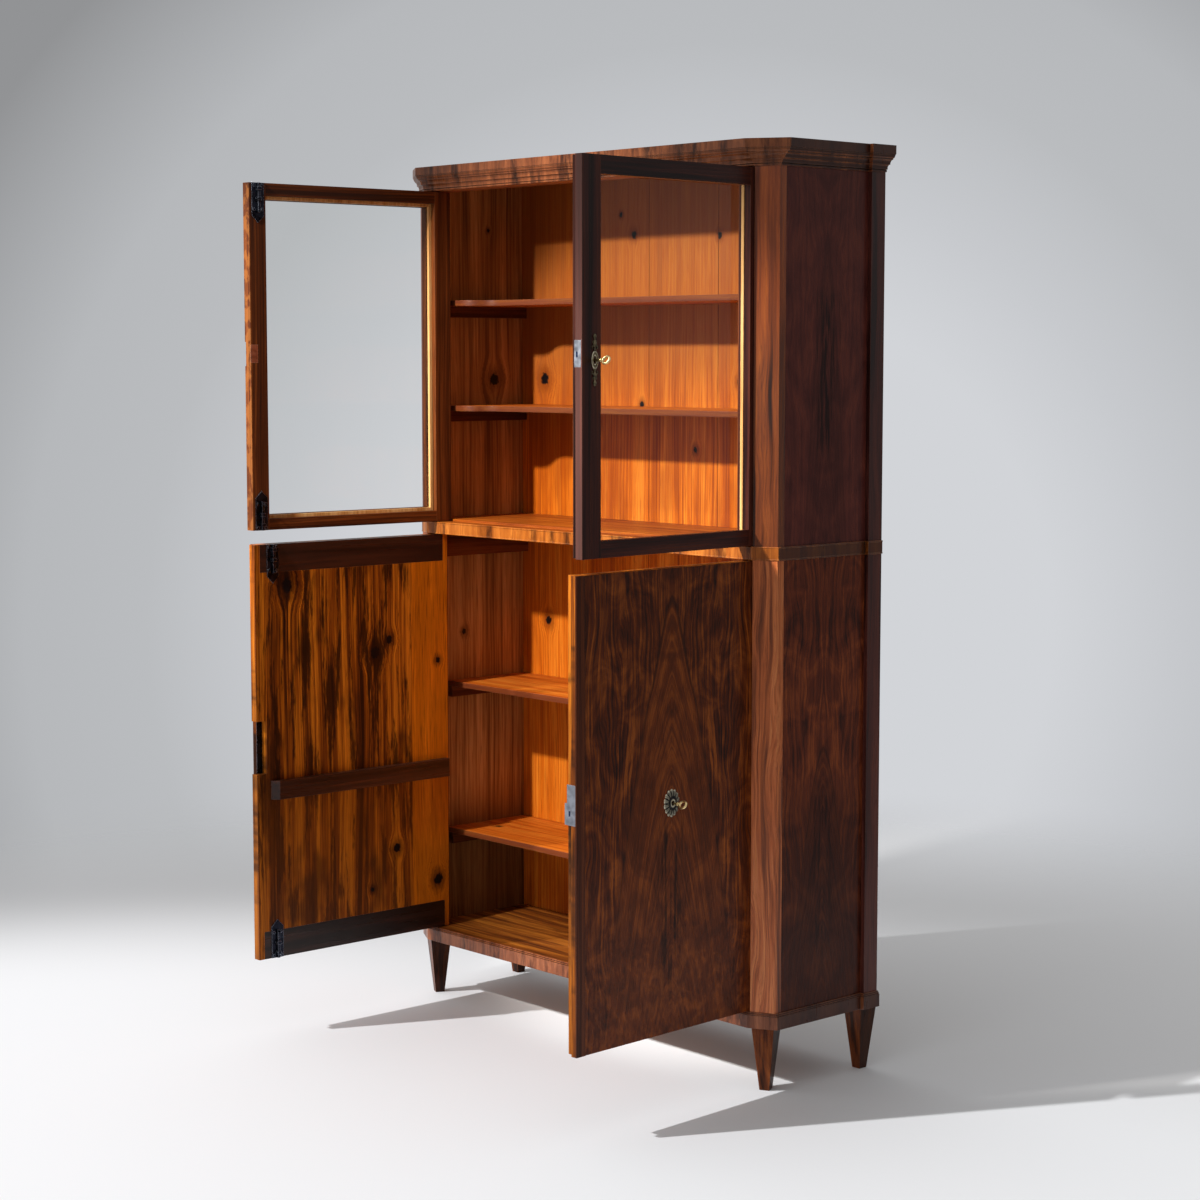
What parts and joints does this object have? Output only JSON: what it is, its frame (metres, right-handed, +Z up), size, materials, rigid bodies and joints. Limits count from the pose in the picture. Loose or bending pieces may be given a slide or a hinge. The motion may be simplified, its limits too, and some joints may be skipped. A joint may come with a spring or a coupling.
{
  "type": "display cabinet",
  "caption": "Tall display cabinet with canted corners and moulded cornice: glazed doors above, board doors below, shelves inside, surface bolts, keyed locks and tapering feet.",
  "frame": {"origin": "on the floor, under the middle of the cabinet with its doors standing open", "axes": "+Z up, +X to the right seen from the front, the front faces -Y"},
  "size_m": [1.196, 0.8034, 1.88],
  "materials": {
    "case_walnut": "polished veneer",
    "door_walnut": "polished veneer, raw inside",
    "pine": "waxed",
    "stained_pine": "stained",
    "glass": "clear",
    "dark_iron": "worn",
    "lock_steel": "worn",
    "old_brass": "darkened",
    "key_brass": "bright",
    "copper": "satin"
  },
  "bodies": {
    "carcase": {"back_boards": "pine", "belt_moulding": "case_walnut", "bottom_board": "pine", "corner_post_left": "case_walnut", "corner_post_right": "case_walnut", "cornice": "case_walnut", "foot_front_left": "case_walnut", "foot_front_right": "case_walnut", "foot_rear_left": "case_walnut", "foot_rear_right": "case_walnut", "head_rail": "pine", "lower_shelf_high": "pine", "lower_shelf_low": "pine", "middle_board": "pine", "plinth_moulding": "case_walnut", "rear_pilaster_left": "case_walnut", "rear_pilaster_right": "case_walnut", "shelf_cleats": "stained_pine", "side_panel_left": "case_walnut", "side_panel_right": "case_walnut", "top_board": "pine", "upper_shelf_high": "pine", "upper_shelf_low": "pine"},
    "upper_left_door": {"upper_bolt_plates": "dark_iron", "upper_left_bottom_rail": "door_walnut", "upper_left_free_stile": "door_walnut", "upper_left_glass": "glass", "upper_left_glazing_beads": "pine", "upper_left_hinge_stile": "door_walnut", "upper_left_pivots": "dark_iron", "upper_left_top_rail": "door_walnut", "upper_strike": "copper"},
    "upper_right_door": {"upper_escutcheon": "old_brass", "upper_lock_case": "lock_steel", "upper_right_bottom_rail": "door_walnut", "upper_right_free_stile": "door_walnut", "upper_right_glass": "glass", "upper_right_glazing_beads": "pine", "upper_right_hinge_stile": "door_walnut", "upper_right_pivots": "dark_iron", "upper_right_top_rail": "door_walnut"},
    "lower_left_door": {"lower_bolt_plates": "dark_iron", "lower_left_battens": "stained_pine", "lower_left_panel": "door_walnut", "lower_left_pivots": "dark_iron", "lower_strike": "dark_iron"},
    "lower_right_door": {"lower_lock_case": "lock_steel", "lower_right_battens": "stained_pine", "lower_right_panel": "door_walnut", "lower_right_pivots": "dark_iron", "lower_rosette": "old_brass"},
    "lower_bottom_bolt": {"lower_bottom_bolt_rod": "dark_iron"},
    "lower_key": {"lower_key": "key_brass"},
    "lower_lock_bolt": {"lower_lock_bolt": "lock_steel"},
    "lower_top_bolt": {"lower_top_bolt_rod": "dark_iron"},
    "upper_bottom_bolt": {"upper_bottom_bolt_rod": "dark_iron"},
    "upper_key": {"upper_key": "key_brass"},
    "upper_lock_bolt": {"upper_lock_bolt": "lock_steel"},
    "upper_top_bolt": {"upper_top_bolt_rod": "dark_iron"}
  },
  "joints": [
    {"name": "upper_left_door_hinge", "type": "hinge", "parent": "carcase", "child": "upper_left_door", "pos_m": [-0.49296, 0.103, 0], "axis": [0, 0, -1], "range_deg": [-92.2, 2.4]},
    {"name": "upper_right_door_hinge", "type": "hinge", "parent": "carcase", "child": "upper_right_door", "pos_m": [0.49296, 0.103, 0], "axis": [0, 0, 1], "range_deg": [-93.6, 1]},
    {"name": "lower_left_door_hinge", "type": "hinge", "parent": "carcase", "child": "lower_left_door", "pos_m": [-0.49678, 0.0995, 0], "axis": [0, 0, -1], "range_deg": [-90.7, 3.9]},
    {"name": "lower_right_door_hinge", "type": "hinge", "parent": "carcase", "child": "lower_right_door", "pos_m": [0.49678, 0.0995, 0], "axis": [0, 0, 1], "range_deg": [-92.7, 1.9]},
    {"name": "upper_top_bolt_slide", "type": "slide", "parent": "upper_left_door", "child": "upper_top_bolt", "axis": [0, 0, 1], "range_m": [0, 0.012]},
    {"name": "upper_bottom_bolt_slide", "type": "slide", "parent": "upper_left_door", "child": "upper_bottom_bolt", "axis": [0, 0, -1], "range_m": [0, 0.012]},
    {"name": "lower_top_bolt_slide", "type": "slide", "parent": "lower_left_door", "child": "lower_top_bolt", "axis": [0, 0, 1], "range_m": [0, 0.012]},
    {"name": "lower_bottom_bolt_slide", "type": "slide", "parent": "lower_left_door", "child": "lower_bottom_bolt", "axis": [0, 0, -1], "range_m": [0, 0.012]},
    {"name": "upper_key_turn", "type": "hinge", "parent": "upper_right_door", "child": "upper_key", "pos_m": [0.54094, -0.35686, 1.4563], "axis": [-0.998, -0.0628, 0], "range_deg": [0, 91]},
    {"name": "upper_lock_bolt_slide", "type": "slide", "parent": "upper_right_door", "child": "upper_lock_bolt", "axis": [0.0628, -0.998, 0], "range_m": [0, 0.01]},
    {"name": "lower_key_turn", "type": "hinge", "parent": "lower_right_door", "child": "lower_key", "pos_m": [0.52375, -0.14328, 0.6125], "axis": [-0.9989, -0.0471, 0], "range_deg": [0, 91]},
    {"name": "lower_lock_bolt_slide", "type": "slide", "parent": "lower_right_door", "child": "lower_lock_bolt", "axis": [0.0471, -0.9989, 0], "range_m": [0, 0.01]}
  ],
  "couplings": [
    {"joint": "upper_key_turn", "follows": "upper_lock_bolt_slide", "rad_per_m": 157.08},
    {"joint": "lower_key_turn", "follows": "lower_lock_bolt_slide", "rad_per_m": 157.08}
  ]
}
